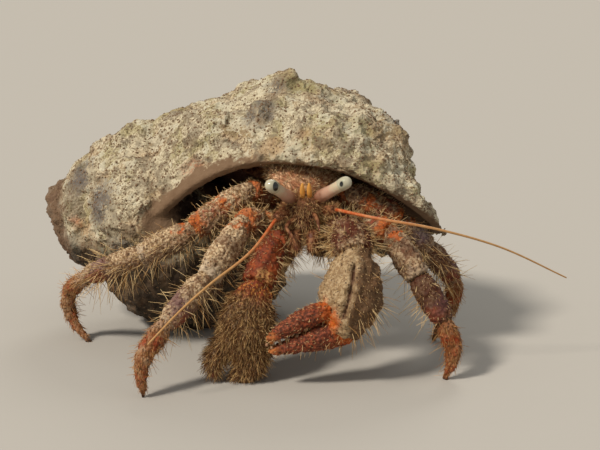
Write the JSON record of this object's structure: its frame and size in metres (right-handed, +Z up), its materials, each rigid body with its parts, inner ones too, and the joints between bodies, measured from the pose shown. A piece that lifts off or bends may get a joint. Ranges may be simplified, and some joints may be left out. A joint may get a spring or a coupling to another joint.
{
  "type": "life-size model of a hairy hermit crab in a sea snail shell",
  "caption": "Life-size display model of a bristly red and sand hermit crab leaning out of a worn sea snail shell, standing on its leg tips and the shell's underside.",
  "frame": {"origin": "middle of the model's box, on the floor it stands on", "axes": "+Z up, the crab faces -Y, the shell's spire points to -X and its open lip to +X"},
  "size_m": [0.1128, 0.0893, 0.0577],
  "materials": {
    "shell_sand": "matte, crusted with fine sand",
    "armour_orange": "satin, granular",
    "armour_sand": "satin, granular",
    "armour_dark_red": "satin",
    "claw_sand": "satin, granular",
    "shield_mottled": "satin, mottled",
    "belly_soft": "smooth, soft-looking",
    "stalk_cream": "smooth",
    "eye_dark": "wet gloss",
    "feeler_gold": "satin"
  },
  "bodies": {
    "root": {"shell_spire": "shell_sand", "shell_roof": "shell_sand", "shell_base": "shell_sand", "leg2_right_coxa": "armour_orange", "leg2_right_merus": "armour_orange", "leg2_right_carpus": "armour_sand", "leg2_right_propodus": "armour_sand", "leg2_right_dactyl": "armour_dark_red", "leg3_right_coxa": "armour_orange", "leg3_right_merus": "armour_orange", "leg3_right_carpus": "armour_sand", "leg3_right_propodus": "armour_sand", "leg3_right_dactyl": "armour_dark_red", "leg2_left_coxa": "armour_orange", "leg2_left_merus": "armour_orange", "leg2_left_carpus": "armour_sand", "leg2_left_propodus": "armour_sand", "leg2_left_dactyl": "armour_dark_red", "leg3_left_coxa": "armour_orange", "leg3_left_merus": "armour_orange", "leg3_left_carpus": "armour_sand", "leg3_left_propodus": "armour_sand", "leg3_left_dactyl": "armour_dark_red", "claw_left_merus": "claw_sand", "claw_left_carpus": "claw_sand", "claw_left_palm": "claw_sand", "claw_left_finger": "claw_sand", "claw_right_merus": "armour_orange", "claw_right_carpus": "armour_orange", "claw_right_palm": "armour_orange", "claw_right_finger": "armour_orange", "body_shield": "shield_mottled", "body_rear_carapace": "belly_soft", "body_belly_front": "belly_soft", "body_belly_middle": "belly_soft", "body_belly_rear": "belly_soft", "body_tail_fan": "belly_soft", "eyestalk_left": "stalk_cream", "eyestalk_right": "stalk_cream", "cornea_left": "eye_dark", "cornea_right": "eye_dark", "acicle_left": "armour_orange", "acicle_right": "armour_orange", "antennule_left": "feeler_gold", "antennule_right": "feeler_gold", "antenna_left_base": "feeler_gold", "antenna_left_near": "feeler_gold", "antenna_left_far": "feeler_gold", "antenna_right_base": "feeler_gold", "antenna_right_near": "feeler_gold", "antenna_right_far": "feeler_gold", "mouth_limb_left": "feeler_gold", "mouth_limb_right": "feeler_gold", "leg4_right": "feeler_gold", "leg4_left": "feeler_gold", "leg5_right": "feeler_gold", "leg5_left": "feeler_gold", "chest": "belly_soft"}
  },
  "joints": []
}
